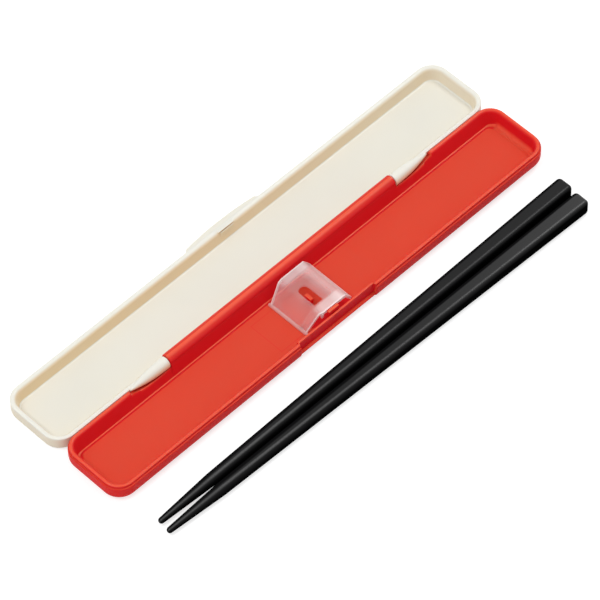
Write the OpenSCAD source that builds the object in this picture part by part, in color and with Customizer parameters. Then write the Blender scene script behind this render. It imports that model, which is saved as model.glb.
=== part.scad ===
// Slim hinged travel case with its own pair of chopsticks, lying open on a table.
// A shallow tray and a lid of the same plan turn on two stub pins. A translucent leaf spring in the
// tray's middle lifts the stored chopsticks against the closed lid, so that they don't rattle.
// Millimetres. +X runs along the case, +Y from its front wall to its hinge, +Z up. The origin is on the
// table, under the middle of the tray.

/* [Case plan] */
// Length of the case, end to end
case_l = 190; // [170:1:240]
// Width of the tray, front to back
case_w = 26.5; // [25:0.5:36]
// Radius of the corners in plan
corner_r = 6.5; // [5.5:0.5:8]
// Radius of the rounded lower edge of tray and lid
edge_r = 4; // [2:0.25:4.5]
// Thickness of both floors
floor_t = 1.2; // [1:0.1:2]

/* [Tray walls] */
// Height of the tray's rim
rim_z = 7; // [6.5:0.1:9]
// Height of the lip above the outer step
lip_h = 1; // [0.4:0.1:1.6]
// Width of the outer step beside the lip
ledge_w = 0.5; // [0.3:0.05:0.8]
// Thickness of the lip
lip_t = 1.2; // [0.9:0.05:1.6]
// How far a wall leans inwards from its rim to its foot
draft = 1; // [0.2:0.1:1.4]
// Radius at the foot of the inner walls
foot_r = 0.6; // [0.3:0.1:1]

/* [Finger recess and latch] */
// Length of the finger recess in the front wall
recess_l = 33; // [26:0.5:44]
// How far the wall is set in there
recess_in = 0.9; // [0.4:0.1:1.2]
// Height that the recess is cut down to
recess_z = 2.7; // [2:0.1:5]
// Length of the latch prong
prong_l = 4.4; // [3:0.2:7]
// Thickness of the latch prong
prong_t = 1.1; // [0.8:0.1:1.6]
// Height of the latch prong above the rim
prong_up = 1.4; // [0.6:0.1:2]

/* [Hinge] */
// Length of the barrel on the tray's back wall
barrel_l = 99; // [60:1:120]
// Outer radius of the barrel and of the arms beside it
barrel_r = 2.1; // [1.8:0.05:2.6]
// Radius of the stub pins on the lid's arms
pin_r = 1; // [0.8:0.05:1.2]
// Length of a stub pin inside the barrel
pin_l = 3.5; // [2:0.1:6]
// Length of the tapering arms on the lid
arm_l = 15.2; // [10:0.2:18]
// Radius of an arm halfway along it
arm_mid_r = 1.75; // [1.3:0.05:2]
// Radius of an arm at its thin end
arm_tip_r = 1.05; // [0.95:0.05:1.2]
// How far the hinge axis lies inside the tray's back face
axis_in = 0.15; // [0:0.05:0.3]

/* [Lid] */
// Height of the lid's rim
lid_h = 6; // [5:0.1:9]
// Thickness of the lid's wall at the rim
lid_wall = 1.8; // [1.4:0.1:2.4]
// Size of the bevel inside the lid's rim
lid_bevel = 0.6; // [0.2:0.1:0.8]
// Length of the thumb tab along the lid
tab_l = 32; // [24:0.5:44]
// How far the tab stands out in its middle
tab_out = 2; // [1.2:0.1:3]
// How far the tab stands out at its ends
tab_end = 1.1; // [0.6:0.1:1.2]
// Thickness of the tab
tab_t = 1.7; // [1.2:0.1:2]
// How far the tab lies below the lid's rim
tab_down = 0.15; // [0.1:0.05:0.4]
// Length of the catch bead inside the tab
catch_l = 6.2; // [4:0.2:9]
// Radius of the catch bead
catch_r = 0.3; // [0.2:0.05:0.35]
// Depth of the catch bead below the lid's rim
catch_down = 1.1; // [1:0.1:1.6]

/* [Leaf spring] */
// How far the leaf's foot lies left of the case's middle
leaf_left = 9.5; // [7:0.1:11]
// Length of the leaf along the case
leaf_l = 18.3; // [15:0.1:21]
// Height of the leaf's top above the tray's floor
leaf_h = 7.8; // [6.8:0.1:8.4]
// Thickness of the leaf
leaf_t = 0.8; // [0.6:0.05:1]
// Thickness of its two side rails
rail_t = 1.1; // [1:0.05:1.4]
// Width of a side rail
rail_w = 3.2; // [2:0.1:3.4]
// How far a side rail slopes down to its edge
rail_drop = 0.8; // [0.2:0.1:1.2]
// Length of the ramp, from the foot to the flat top
ramp_l = 6.4; // [5.6:0.1:7.4]
// Radius of the bend between the ramp and the flat top, at mid thickness
shoulder_r = 2.4; // [1.6:0.1:3]
// Length of the sloping free end, with its bend
curl_l = 4.1; // [3:0.1:4.2]
// Radius of the bend before the free end, at mid thickness
curl_r = 1.7; // [1.2:0.1:2.2]
// How much narrower the leaf is at its foot, on each side
flare = 0.8; // [0.2:0.1:1]
// Radius of the bead along the leaf's foot
bead_r = 0.6; // [0.5:0.05:0.7]
// Depth of the bead's groove in the tray's floor
groove_d = 0.4; // [0.2:0.05:0.5]
// Width of the slot in the leaf
slot_w = 3.7; // [2:0.1:4]
// Length of the slot in the leaf
slot_l = 8.4; // [5:0.1:8.6]
// How far the slot lies left of the case's middle
slot_left = 1.7; // [0:0.1:1.8]
// How far the slot lies in front of the case's middle
slot_fore = 1.7; // [0:0.1:1.8]
// Height of the stop rib under the leaf, from the floor
stop_h = 2.8; // [1:0.1:3.2]
// Thickness of the stop rib
stop_t = 1.3; // [0.8:0.1:2]
// Length of the stop rib
stop_l = 3; // [2:0.1:5]
// How far the stop rib lies behind the case's middle
stop_back = 0.5; // [0:0.1:2]
// Length of the lug under the front rail
lug_l = 0.9; // [0.6:0.1:1.4]
// Thickness of the lug
lug_t = 0.8; // [0.6:0.1:1.2]
// How far the lug hangs below the rail
lug_h = 1.4; // [0.6:0.1:1.8]

/* [Chopsticks] */
// Length of a chopstick
stick_l = 180; // [160:1:230]
// Width of the square butt
butt_w = 6.2; // [5:0.1:8]
// Radius of the butt's long edges
butt_r = 1.4; // [0.6:0.1:2]
// Diameter where the tip begins
neck_d = 4.3; // [3.5:0.1:5]
// Diameter at the end of the tip
tip_d = 2.1; // [1.6:0.1:3]
// Length of the tip
tip_l = 22; // [12:1:40]
// Space between the case and the first chopstick
stick_apart = 10.2; // [6:0.1:30]
// Space between the two chopsticks where their tips begin
neck_apart = 0.55; // [0.3:0.05:4]
// Space between the two chopsticks at their butts
butt_apart = 1.75; // [0.3:0.05:6]
// How far the first chopstick's tip lies in from the end of the case
tip_in = 3.8; // [0:0.1:10]
// How far the second chopstick is drawn back towards its tip
stick_back = 0.6; // [0:0.1:5]

/* [Clearances] */
// Running clearance of a stub pin in its bore
pin_clear = 0.05; // [0.02:0.01:0.1]
// Clearance around the barrel and the arms
hinge_clear = 0.35; // [0.25:0.05:0.5]
// Space between the tray's back face and the open lid
back_gap = 0.5; // [0.35:0.05:0.8]
// Space between the closed lid's rim and the tray's rim
seat_gap = 0.15; // [0.1:0.05:0.3]
// Clearance of the bead in its groove
bead_clear = 0.05; // [0.02:0.01:0.1]
// Space between the leaf's edges and the rim of the recess
leaf_gap = 1.2; // [1:0.05:2]

/* [Hidden] */
$fn = 96;

// Overlap of pieces that join, and overrun of cuts
join = 0.2;
cut = 1;

half_l = case_l / 2;
half_w = case_w / 2;

// Tray: height of the outer step, insets of the lip and of the wall's foot
ledge_z = rim_z - lip_h;
lip_in = ledge_w + lip_t;
foot_in = lip_in + draft;

// Hinge axis, and where the barrel ends and an arm begins
axis_y = half_w - axis_in;
axis_z = (rim_z + lid_h + seat_gap) / 2;
arm_x = barrel_l / 2 + hinge_clear;

// Lid, lying open: its near and far faces
lid_near = half_w + back_gap;
lid_far = 2 * axis_y + half_w;
lid_w = lid_far - lid_near;
lid_mid = (lid_far + lid_near) / 2;
lid_foot_in = lid_wall + draft;

// Leaf spring: its foot, the height of its top, half its width at the top and at the foot, where the rails
// begin, the length of the narrower foot, and the depth of the space under the plate
leaf_x = -leaf_left;
bead_z = floor_t - groove_d + bead_clear + bead_r;
leaf_z = floor_t + leaf_h;
top_half = half_w - lip_in - recess_in - leaf_gap;
foot_half = top_half - flare;
crease = top_half - rail_w;
flare_l = 0.75 * ramp_l;
hollow = leaf_h / 2;

// Leaf spring, along the case: the middle of its foot, the middles of its two bends, the slope of its ramp
// and of its free end, and the free end's middle
foot_at = [leaf_x, bead_z];
bend_at = [leaf_x + ramp_l, leaf_z - leaf_t / 2 - shoulder_r];
curl_at = [leaf_x + leaf_l - curl_l, leaf_z - leaf_t / 2 - curl_r];
to_bend = bend_at - foot_at;
slope = atan2(to_bend[1], to_bend[0]) + asin(shoulder_r / norm(to_bend));
end_run = (curl_l - curl_r * sin(slope)) / cos(slope);
end_at = curl_at + curl_r * [sin(slope), cos(slope)] + end_run * [cos(slope), -sin(slope)];

// Chopsticks: where the first tip lies, and how the second one lies beside it
tip_x = -half_l + tip_in;
tip_y = -half_w - stick_apart - butt_w / 2;
stick_turn = asin((butt_w + butt_apart - neck_d - neck_apart) / (stick_l - tip_l));
tip_space = neck_d + neck_apart - tip_l * sin(stick_turn);

// Steps of the round stretches in the leaf's outline
arc_steps = 10;

// A round bead along X, centred on x = 0
module bar_x(length, radius) {
    rotate([0, 90, 0])
        cylinder(h = length, r = radius, center = true);
}

// Corner piece between two square edges, hollowed by a circle: cut away it rounds an outer edge
module corner_cut(radius) {
    difference() {
        translate([-cut, -cut])
            square(radius + cut);
        translate([radius, radius])
            circle(radius);
    }
}

// Fillet between the floor and a wall that leans from its foot at inset foot up to inset top at height h
module foot_fillet(foot, top, h) {
    lean = atan((foot - top) / (h - floor_t));
    reach = foot_r / tan((90 + lean) / 2);
    difference() {
        polygon([
            [foot - join, floor_t - join],
            [foot + reach, floor_t - join],
            [foot + reach, floor_t + foot_r],
            [foot - reach * sin(lean) - join, floor_t + reach * cos(lean)],
        ]);
        translate([foot + reach, floor_t + foot_r])
            circle(foot_r);
    }
}

// Section of the tray's wall and of the floor beside it: inset from the outer face, and height
module tray_section() {
    difference() {
        union() {
            square([corner_r, floor_t]);
            polygon([
                [0, 0],
                [foot_in, 0],
                [foot_in, floor_t],
                [lip_in, rim_z],
                [ledge_w, rim_z],
                [ledge_w, ledge_z],
                [0, ledge_z],
            ]);
            foot_fillet(foot_in, lip_in, rim_z);
        }
        corner_cut(edge_r);
    }
}

// Section of the lid's wall and of the floor beside it
module lid_section() {
    difference() {
        union() {
            square([corner_r, floor_t]);
            polygon([
                [0, 0],
                [lid_foot_in, 0],
                [lid_foot_in, floor_t],
                [lid_wall, lid_h - lid_bevel],
                [lid_wall - lid_bevel, lid_h],
                [0, lid_h],
            ]);
            foot_fillet(lid_foot_in, lid_wall, lid_h - lid_bevel);
        }
        corner_cut(edge_r);
    }
}

// Shallow pan of length l and width w: a wall section carried around a rounded rectangle, and its floor
module pan(l, w) {
    run_x = l - 2 * corner_r;
    run_y = w - 2 * corner_r;
    for (side = [0, 180]) {
        rotate([0, 0, side])
            translate([-run_x / 2, -w / 2, 0])
                rotate([90, 0, 90])
                    linear_extrude(run_x)
                        children();
        rotate([0, 0, side + 90])
            translate([-run_y / 2, -l / 2, 0])
                rotate([90, 0, 90])
                    linear_extrude(run_y)
                        children();
    }
    for (corner = [[1, 1, 0], [-1, 1, 90], [-1, -1, 180], [1, -1, 270]])
        translate([corner[0] * run_x / 2, corner[1] * run_y / 2, 0])
            rotate([0, 0, corner[2]])
                rotate_extrude(angle = 90)
                    intersection() {
                        translate([corner_r, 0])
                            mirror([1, 0])
                                children();
                        square([corner_r + cut, l]);
                    }
    translate([-run_x / 2, -run_y / 2, 0])
        cube([run_x, run_y, floor_t]);
}

// Round arm about the hinge axis, bowed to a thin end, grown by a clearance, on the side sx of the case
module hinge_arm(sx, grow) {
    translate([sx * (arm_x - grow), axis_y, axis_z])
        rotate([0, sx * 90, 0])
            union() {
                cylinder(h = arm_l / 2 + grow, r1 = barrel_r + grow, r2 = arm_mid_r + grow);
                translate([0, 0, arm_l / 2 + grow])
                    cylinder(h = arm_l / 2 + grow, r1 = arm_mid_r + grow, r2 = arm_tip_r + grow);
            }
}

// Front wall inside the finger recess: the lip set in, and the wall below it
module recess_wall() {
    translate([-recess_l / 2, -half_w, 0])
        rotate([90, 0, 90])
            linear_extrude(recess_l)
                polygon([
                    [lip_in - join, floor_t - join],
                    [foot_in + recess_in, floor_t - join],
                    [foot_in + recess_in, floor_t],
                    [lip_in + recess_in, rim_z],
                    [ledge_w + recess_in, rim_z],
                    [ledge_w + recess_in, recess_z - join],
                    [lip_in - join, recess_z - join],
                ]);
}

// Upright latch prong on the inside of the recess wall
module latch_prong() {
    translate([-prong_l / 2, -half_w + lip_in + recess_in - join, floor_t - join])
        cube([prong_l, prong_t, rim_z + prong_up - floor_t + join]);
}

// Shallow tray with the hinge barrel on its back wall
module tray() {
    color("orangered")
        difference() {
            union() {
                difference() {
                    pan(case_l, case_w)
                        tray_section();
                    translate([-recess_l / 2, -half_w - cut, recess_z])
                        cube([recess_l, cut + lip_in + join, rim_z]);
                }
                recess_wall();
                latch_prong();
                translate([0, axis_y, axis_z])
                    bar_x(barrel_l, barrel_r);
                translate([-stop_t / 2, stop_back - stop_l / 2, floor_t - join])
                    cube([stop_t, stop_l, stop_h + join]);
            }
            for (sx = [-1, 1]) {
                hinge_arm(sx, hinge_clear);
                translate([sx * (barrel_l / 2 - pin_l - cut), axis_y, axis_z])
                    rotate([0, sx * 90, 0])
                        cylinder(h = pin_l + 2 * cut, r = pin_r + pin_clear);
            }
            translate([leaf_x, 0, bead_z])
                rotate([90, 0, 0])
                    cylinder(h = 2 * (foot_half + bead_clear), r = bead_r + bead_clear, center = true);
        }
}

// Outline of the thumb tab in plan, standing out from y = 0: a long shallow bow with slanting ends
module tab_outline() {
    slant = tab_end;
    chord = tab_l / 2 - slant;
    rise = tab_out - tab_end;
    bow_r = (chord * chord + rise * rise) / (2 * rise);
    intersection() {
        polygon([
            [-tab_l / 2, -join],
            [tab_l / 2, -join],
            [tab_l / 2, 0],
            [chord, tab_end],
            [chord, tab_out + cut],
            [-chord, tab_out + cut],
            [-chord, tab_end],
            [-tab_l / 2, 0],
        ]);
        translate([0, tab_out - bow_r])
            circle(bow_r, $fn = 360);
    }
}

// Lid, lying open behind the tray, with its hinge arms, stub pins, thumb tab and catch bead
module lid() {
    catch_z = lid_h - catch_down;
    lean = draft * (lid_h - lid_bevel - catch_z) / (lid_h - lid_bevel - floor_t);
    color("ivory") {
        difference() {
            translate([0, lid_mid, 0])
                pan(case_l, lid_w)
                    lid_section();
            translate([0, axis_y, axis_z])
                bar_x(barrel_l + 2 * (hinge_clear + join), barrel_r + hinge_clear);
        }
        for (sx = [-1, 1]) {
            hinge_arm(sx, 0);
            translate([sx * (barrel_l / 2 - pin_l), axis_y, axis_z])
                rotate([0, sx * 90, 0])
                    cylinder(h = pin_l + hinge_clear + join, r = pin_r);
        }
        translate([0, lid_far, lid_h - tab_down - tab_t])
            linear_extrude(tab_t)
                tab_outline();
        translate([0, lid_far - lid_wall - lean, catch_z])
            bar_x(catch_l, catch_r);
    }
}

// Points of an arc about c, from angle a0 to a1
function arc(c, r, a0, a1) = [
    for (i = [0:arc_steps])
        let (a = a0 + (a1 - a0) * i / arc_steps)
            c + r * [cos(a), sin(a)]
];

// The leaf's foot and its free end, set off square to its middle line and run on past it
function leaf_foot(off, past) =
    foot_at + off * [-sin(slope), cos(slope)] - past * [cos(slope), sin(slope)];
function leaf_end(off, past) =
    end_at + off * [sin(slope), cos(slope)] + past * [cos(slope), -sin(slope)];

// Height of a side rail's upper face, at a place across the case
function rail_z(y) = leaf_z - rail_drop * (y - crease) / rail_w;

// Everything below a line along the leaf: up the ramp, over the flat top and down to the free end
module below_leaf(off, past, deep) {
    rotate([90, 0, 0])
        linear_extrude(2 * (top_half + cut), center = true)
            polygon(concat(
                [leaf_foot(off, past)],
                arc(bend_at, shoulder_r + off, 90 + slope, 90),
                arc(curl_at, curl_r + off, 90, 90 - slope),
                [leaf_end(off, past), leaf_end(-deep, past), leaf_foot(-deep, past)]
            ));
}

// Everything below the leaf's flat middle and its sloping rails, across the case
module below_rails() {
    wide = top_half + cut;
    translate([leaf_x - cut, 0, 0])
        rotate([90, 0, 90])
            linear_extrude(leaf_l + 2 * cut)
                polygon([
                    [-wide, -cut],
                    [wide, -cut],
                    [wide, rail_z(wide)],
                    [crease, leaf_z],
                    [-crease, leaf_z],
                    [-wide, rail_z(wide)],
                ]);
}

// The hollow under the flat middle and the rails
module rail_hollow() {
    wide = top_half + cut;
    translate([leaf_x - 2 * cut, 0, 0])
        rotate([90, 0, 90])
            linear_extrude(leaf_l + 4 * cut)
                polygon([
                    [-wide, -3 * cut],
                    [wide, -3 * cut],
                    [wide, rail_z(wide) - rail_t],
                    [crease, leaf_z - rail_t],
                    [crease, leaf_z - leaf_t],
                    [-crease, leaf_z - leaf_t],
                    [-crease, leaf_z - rail_t],
                    [-wide, rail_z(wide) - rail_t],
                ]);
}

// Outline of the leaf in plan, narrower at its foot
module leaf_plan() {
    polygon([
        [leaf_x - cut, -foot_half],
        [leaf_x, -foot_half],
        [leaf_x + flare_l, -top_half],
        [leaf_x + leaf_l + cut, -top_half],
        [leaf_x + leaf_l + cut, top_half],
        [leaf_x + flare_l, top_half],
        [leaf_x, foot_half],
        [leaf_x - cut, foot_half],
    ]);
}

// Leaf spring: a bent plate with sloping rails at its sides, rising from a bead in the tray's floor
module leaf_spring() {
    slot_front = -slot_fore - slot_l / 2;
    color([1, 0.75, 0.75, 0.6])
        difference() {
            union() {
                difference() {
                    intersection() {
                        below_leaf(leaf_t / 2, 0, hollow);
                        below_rails();
                        linear_extrude(leaf_z + cut)
                            leaf_plan();
                    }
                    intersection() {
                        below_leaf(-leaf_t / 2, cut, hollow + cut);
                        rail_hollow();
                    }
                }
                translate([leaf_x, 0, bead_z])
                    rotate([90, 0, 0])
                        cylinder(h = 2 * foot_half, r = bead_r, center = true);
                translate([bend_at[0] - lug_l, -top_half, rail_z(top_half) - rail_t - lug_h])
                    cube([lug_l, lug_t, lug_h + 2 * join]);
            }
            translate([-slot_left, slot_front + slot_l - slot_w / 2, leaf_z / 2])
                cylinder(h = leaf_z, d = slot_w);
            translate([-slot_left - slot_w / 2, slot_front, leaf_z / 2])
                cube([slot_w, slot_l - slot_w / 2, leaf_z]);
        }
}

// Cross-section of a chopstick's butt, a square with rounded edges that stands on y = 0
module butt_section(w, r) {
    hull()
        for (sx = [-1, 1], y = [r, w - r])
            translate([sx * (w / 2 - r), y])
                circle(r, $fn = 32);
}

// Chopstick along +X, its tip at x = 0, lying on its lower side
module stick() {
    nose_r = tip_d / 2;
    edge = butt_r / 2;
    tip_z = neck_d / 2 - tip_l * (butt_w - neck_d) / (stick_l - tip_l) / 2;
    hull() {
        translate([nose_r, 0, max(tip_z, nose_r)])
            sphere(nose_r, $fn = 32);
        translate([tip_l, 0, neck_d / 2])
            rotate([0, 90, 0])
                cylinder(h = join, d = neck_d, $fn = 32);
        translate([stick_l - edge - join, 0, 0])
            rotate([90, 0, 90])
                linear_extrude(join)
                    butt_section(butt_w, butt_r);
        translate([stick_l - join, 0, edge])
            rotate([90, 0, 90])
                linear_extrude(join)
                    butt_section(butt_w - 2 * edge, butt_r - edge / 2);
    }
}

// First chopstick, beside the tray
module chopstick_1() {
    color([0.13, 0.13, 0.14])
        translate([tip_x, tip_y, 0])
            stick();
}

// Second chopstick, its tip close to the first one's and its butt a little further out
module chopstick_2() {
    color([0.13, 0.13, 0.14])
        translate([tip_x - stick_back, tip_y - tip_space, 0])
            rotate([0, 0, -stick_turn])
                stick();
}

tray();
lid();
leaf_spring();
chopstick_1();
chopstick_2();
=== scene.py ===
import bpy
import numpy as np
from mathutils import Matrix


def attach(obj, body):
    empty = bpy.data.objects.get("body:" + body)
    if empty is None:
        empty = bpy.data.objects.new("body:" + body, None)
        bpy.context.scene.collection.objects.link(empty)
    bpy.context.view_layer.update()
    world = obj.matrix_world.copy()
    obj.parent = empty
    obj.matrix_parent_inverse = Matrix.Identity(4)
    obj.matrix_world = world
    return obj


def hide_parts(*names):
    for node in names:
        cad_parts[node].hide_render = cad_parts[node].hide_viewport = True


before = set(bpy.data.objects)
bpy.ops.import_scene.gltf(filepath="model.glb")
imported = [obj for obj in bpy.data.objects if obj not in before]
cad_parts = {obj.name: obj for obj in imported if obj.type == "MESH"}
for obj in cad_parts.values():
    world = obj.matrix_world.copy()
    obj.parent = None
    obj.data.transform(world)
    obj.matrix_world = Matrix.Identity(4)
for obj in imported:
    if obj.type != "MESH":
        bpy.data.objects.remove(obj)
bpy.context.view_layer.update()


# Tray: a shallow pan of red plastic, moulded in one shot. Its lip is stepped to take the lid's rim, its
# front wall is set in for a fingertip, and two pockets in its back wall clear the lid's hinge arms.
# Sizes are in millimetres here and become metres as a mesh is made.
mm = 0.001
case_length, tray_width, corner_radius = 190.0, 26.5, 6.5
tray_floor, step_height, lip_height = 1.2, 6.0, 7.0
under_inset, step_inset, lip_inset, foot_inset, back_lean = 5.5, 0.5, 1.7, 2.7, 0.7
lower_round, groove_round, groove_floor, foot_top = 3.1, 0.08, 0.92, 1.6
hinge_y, hinge_z = 13.1, 6.575
barrel_half, barrel_radius = 49.5, 2.1
arm_start, arm_end, arm_tip_radius, arm_taper = 49.85, 65.05, 0.35, 2.5
pocket_end, pocket_gap, pocket_gap_growth = 66.1, 0.4, 0.85
recess_half, recess_slant, recess_ledge = 16.5, 0.3, 2.7


def round_corners(points, radii, steps=7):
    """Section line through the points, with each inner corner turned into an arc.

    An arc of radius r starts r * tan(half the turn) before its corner, its middle lies r to the side
    that the line turns to, and its points swing evenly about that middle through the turn.
    """
    line = np.array(points, float)
    into, onward = np.diff(line, axis=0)[:-1], np.diff(line, axis=0)[1:]
    into /= np.linalg.norm(into, axis=1, keepdims=True)
    onward /= np.linalg.norm(onward, axis=1, keepdims=True)
    turn = np.arctan2(into[:, 0] * onward[:, 1] - into[:, 1] * onward[:, 0], (into * onward).sum(1))
    radius = np.array(radii, float)
    start = line[1:-1] - into * (radius * np.abs(np.tan(turn / 2)))[:, None]
    arm = np.stack([into[:, 1], -into[:, 0]], 1) * (np.sign(turn) * radius)[:, None]
    swing = turn[:, None] * np.linspace(0, 1, steps + 1)
    x = (start - arm)[:, :1] + arm[:, :1] * np.cos(swing) - arm[:, 1:] * np.sin(swing)
    y = (start - arm)[:, 1:] + arm[:, :1] * np.sin(swing) + arm[:, 1:] * np.cos(swing)
    return np.vstack([line[:1], np.stack([x, y], 2).reshape(-1, 2), line[-1:]])


def divide_straights(section, corners, steps=7, parts=5):
    """The same section line with every straight stretch between two arcs divided into equal parts."""
    ends = np.arange(corners + 1) * (steps + 1)
    extra = ends[:, None] + np.arange(1, parts) / parts
    place = np.sort(np.concatenate([np.arange(len(section)), extra.ravel()]))
    below = np.minimum(place.astype(int), len(section) - 2)
    share = (place - below)[:, None]
    return section[below] * (1 - share) + section[below + 1] * share


def case_outline(length, width, along, corner_lines=17):
    """Points around a rounded rectangle, anticlockwise, and the outward direction at each.

    The front half runs round the left corner, along the front and round the right corner. The back half
    is its mirror image, so that the first point faces the last one, and so on.
    """
    swing = np.linspace(0, np.pi / 2, corner_lines)
    straight = np.array([length, width]) / 2 - corner_radius
    left_out = -np.stack([np.cos(swing), np.sin(swing)], 1)
    left = left_out * corner_radius - straight
    front = np.stack([along, np.full(len(along), -width / 2)], 1)
    half = np.vstack([left, front, left[::-1] * [-1, 1]])
    half_out = np.vstack([left_out, np.tile([0.0, -1.0], (len(along), 1)), left_out[::-1] * [-1, 1]])
    return np.vstack([half, half[::-1] * [1, -1]]), np.vstack([half_out, half_out[::-1] * [1, -1]])


def pan(plan, out, inset, height):
    """Pan made by carrying a wall's section around an outline: point = plan - inset * outward direction.

    The section starts under the bottom, goes over the rim and ends on the floor. Strips between points
    that face each other across the pan close the bottom and the floor.
    """
    count, rows = inset.shape
    flat = plan[:, None] - inset[..., None] * out[:, None]
    points = np.concatenate([flat, height[..., None]], 2).reshape(-1, 3)
    here = np.arange(count)[:, None] * rows + np.arange(rows - 1)
    there = np.roll(here, -1, 0)
    wall = np.stack([here, there, there + 1, here + 1], 2).reshape(-1, 4)
    k = np.arange(count // 2 - 1)
    strip = np.stack([k, k + 1, count - 2 - k, count - 1 - k], 1) * rows
    return points, np.vstack([wall, strip[:, ::-1], strip + rows - 1]).tolist()


def make_piece(name, points, faces, node, body, finish, sharp_from=38):
    """A piece of the object: its mesh, smooth but for sharp edges, its finish, and what it rides on."""
    mesh = bpy.data.meshes.new(name)
    mesh.from_pydata(np.asarray(points) * mm, [], faces)
    mesh.polygons.foreach_set("use_smooth", np.ones(len(mesh.polygons), bool))
    mesh.set_sharp_from_angle(angle=np.radians(sharp_from))
    mesh.materials.append(finish)
    piece = bpy.data.objects.new(name, mesh)
    bpy.context.scene.collection.objects.link(piece)
    even = piece.modifiers.new("even_flats", "WEIGHTED_NORMAL")
    even.keep_sharp = True
    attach(piece, body)
    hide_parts(node)
    return piece


def paint(piece, name, values):
    """Keeps one number for each point of a piece's mesh, for its finish to read."""
    layer = piece.data.attributes.new(name, "FLOAT", "POINT")
    layer.data.foreach_set("value", np.asarray(values, np.float32).ravel())


def steepness(section):
    """How upright a wall's section stands at each of its points: 0 on a floor, 1 on a plumb wall."""
    run = np.gradient(section, axis=1)
    return np.abs(run[..., 1]) / np.hypot(run[..., 0], run[..., 1])


def small_rounds(section, plain_rows, full_turn=0.1):
    """1 where a section turns through a small round, which its mould has polished, and 0 on its flats.

    The turn at a point is the cross product of the two unit steps that meet there. The first rows,
    on the outside of the wall, stay plain.
    """
    step = np.diff(section, axis=1)
    step = step / np.linalg.norm(step, axis=2, keepdims=True)
    turn = np.abs(step[:, :-1, 0] * step[:, 1:, 1] - step[:, :-1, 1] * step[:, 1:, 0])
    turn[:, :plain_rows] = 0
    return np.pad(np.clip(turn / full_turn, 0, 1), ((0, 0), (1, 1)))


def place(tree, kind, settings=None, **sockets):
    """A new node with its settings, and its sockets set to a value or joined to another node's socket.

    A socket is named with a low line for each space, or given by its number after a low line.
    """
    node = tree.nodes.new(kind)
    for key, value in (settings or {}).items():
        setattr(node, key, value)
    for key, value in sockets.items():
        socket = node.inputs[int(key[1:])] if key[1:].isdigit() else node.inputs[key.replace("_", " ")]
        if isinstance(value, bpy.types.NodeSocket):
            tree.links.new(value, socket)
        else:
            socket.default_value = value
    return node


def mix_tones(tree, amount, first, second):
    """The socket of a mix of two tones: all of the first where the amount is 0, of the second where 1."""
    return place(tree, "ShaderNodeMix", {"data_type": "RGBA"}, _0=amount, _6=first, _7=second).outputs[2]


def moulded_skin_group():
    """Skin of a moulding: slow flow marks, fine grain from the tool, and hairline scuffs from handling."""
    tree = bpy.data.node_groups.new("moulded_skin", "ShaderNodeTree")
    tree.interface.new_socket("Place", in_out="INPUT", socket_type="NodeSocketVector")
    tree.interface.new_socket("Flow Size", in_out="INPUT", socket_type="NodeSocketFloat")
    tree.interface.new_socket("Grain Size", in_out="INPUT", socket_type="NodeSocketFloat")
    for name in ("Flow", "Grain", "Scuff"):
        tree.interface.new_socket(name, in_out="OUTPUT", socket_type="NodeSocketFloat")
    given = place(tree, "NodeGroupInput").outputs
    flow = place(tree, "ShaderNodeTexNoise", Vector=given["Place"], Scale=given["Flow Size"],
                 Detail=2.0, Distortion=0.6)
    grain = place(tree, "ShaderNodeTexNoise", Vector=given["Place"], Scale=given["Grain Size"], Detail=3.0)
    hair_run, hair_fine, hair_slant = 22.0, 900.0, 0.35
    drawn = place(tree, "ShaderNodeMapping", Vector=given["Place"], Scale=(hair_run, hair_fine, hair_fine),
                  Rotation=(0.0, 0.0, hair_slant))
    hairs = place(tree, "ShaderNodeTexNoise", Vector=drawn.outputs["Vector"], Scale=1.0, Detail=2.0)
    scuff = place(tree, "ShaderNodeMapRange", Value=hairs.outputs["Fac"], From_Min=0.62, From_Max=0.74)
    result = place(tree, "NodeGroupOutput")
    tree.links.new(flow.outputs["Fac"], result.inputs["Flow"])
    tree.links.new(grain.outputs["Fac"], result.inputs["Grain"])
    tree.links.new(scuff.outputs["Result"], result.inputs["Scuff"])
    return tree


def floor_mark_group():
    """A rectangle on a floor: its outline, as a loose block in the mould leaves it, and the area inside.

    The distance to the outline is the larger of (distance from the middle - half size) in X and in Y.
    """
    tree = bpy.data.node_groups.new("floor_mark", "ShaderNodeTree")
    for name in ("Place", "Middle", "Half"):
        tree.interface.new_socket(name, in_out="INPUT", socket_type="NodeSocketVector")
    for name in ("Line", "Inside"):
        tree.interface.new_socket(name, in_out="OUTPUT", socket_type="NodeSocketFloat")
    given = place(tree, "NodeGroupInput").outputs
    off = place(tree, "ShaderNodeVectorMath", {"operation": "SUBTRACT"}, _0=given["Place"],
                _1=given["Middle"])
    size = place(tree, "ShaderNodeVectorMath", {"operation": "ABSOLUTE"}, _0=off.outputs["Vector"])
    past = place(tree, "ShaderNodeVectorMath", {"operation": "SUBTRACT"}, _0=size.outputs["Vector"],
                 _1=given["Half"])
    parts = place(tree, "ShaderNodeSeparateXYZ", Vector=past.outputs["Vector"])
    far = place(tree, "ShaderNodeMath", {"operation": "MAXIMUM"}, _0=parts.outputs["X"],
                _1=parts.outputs["Y"])
    near = place(tree, "ShaderNodeMath", {"operation": "ABSOLUTE"}, _0=far.outputs["Value"])
    line = place(tree, "ShaderNodeMapRange", Value=near.outputs["Value"], From_Min=0.22 * mm,
                 From_Max=0.08 * mm)
    inside = place(tree, "ShaderNodeMapRange", Value=far.outputs["Value"], From_Min=0.3 * mm,
                   From_Max=-0.5 * mm)
    result = place(tree, "NodeGroupOutput")
    tree.links.new(line.outputs["Result"], result.inputs["Line"])
    tree.links.new(inside.outputs["Result"], result.inputs["Inside"])
    return tree


moulded_skin, floor_mark = moulded_skin_group(), floor_mark_group()


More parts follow.
